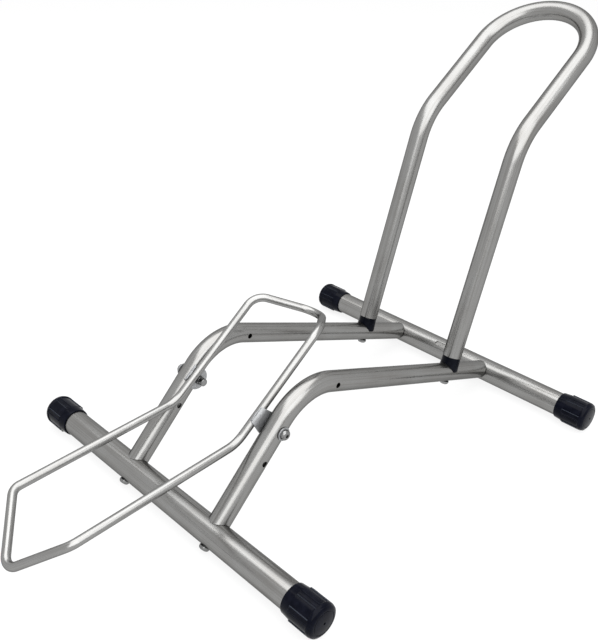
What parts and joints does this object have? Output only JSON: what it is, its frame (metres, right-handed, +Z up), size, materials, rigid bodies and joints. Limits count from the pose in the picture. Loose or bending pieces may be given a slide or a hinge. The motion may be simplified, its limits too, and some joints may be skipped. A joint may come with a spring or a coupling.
{
  "type": "floor bike rack",
  "caption": "Free-standing floor rack that holds a bicycle by a wheel: leaning tube hoop, bent rails, tilting rod cradle and ribbed plastic feet.",
  "frame": {"origin": "bottom centre of the whole rack, on the floor, half way between the left and the right caps", "axes": "+X from the entry to the hoop, +Y to the left as the bicycle rolls in, +Z up"},
  "size_m": [0.908, 0.493, 0.5031],
  "materials": {
    "tube": "satin metallic silver-grey coat on steel tube",
    "rod": "bright zinc plate on drawn steel rod",
    "tab": "zinc plate on pressed sheet steel",
    "fastener": "bright plate on steel",
    "plug": "plain zinc plate, hidden in the tubes",
    "cap": "moulded black plastic, half matte",
    "saddle": "moulded black plastic, slightly glossy"
  },
  "bodies": {
    "frame": {"front_cross_tube": "tube", "rear_cross_tube": "tube", "cap_front_left": "cap", "cap_front_right": "cap", "cap_rear_left": "cap", "cap_rear_right": "cap", "left_rail": "tube", "right_rail": "tube", "hoop": "tube", "hoop_saddle_left": "saddle", "hoop_saddle_right": "saddle", "front_joint_bolt_left": "fastener", "front_joint_bolt_right": "fastener", "front_joint_plug_left": "plug", "front_joint_plug_right": "plug", "rear_joint_bolt_left": "fastener", "rear_joint_bolt_right": "fastener", "rear_joint_plug_left": "plug", "rear_joint_plug_right": "plug", "hoop_bolt_left": "fastener", "hoop_bolt_right": "fastener", "hoop_plug_left": "plug", "hoop_plug_right": "plug", "pivot_washer_left": "fastener", "pivot_washer_right": "fastener", "pivot_bolt_left": "fastener", "pivot_bolt_right": "fastener", "pivot_nut_left": "fastener", "pivot_nut_right": "fastener"},
    "cradle": {"cradle_rod": "rod", "pivot_tab_left": "tab", "pivot_tab_right": "tab"}
  },
  "joints": [
    {"name": "cradle_pivot", "type": "hinge", "parent": "frame", "child": "cradle", "pos_m": [-0.16202, 0, 0.11453], "axis": [0, 1, 0], "range_deg": [-8.5, 63.5]}
  ]
}
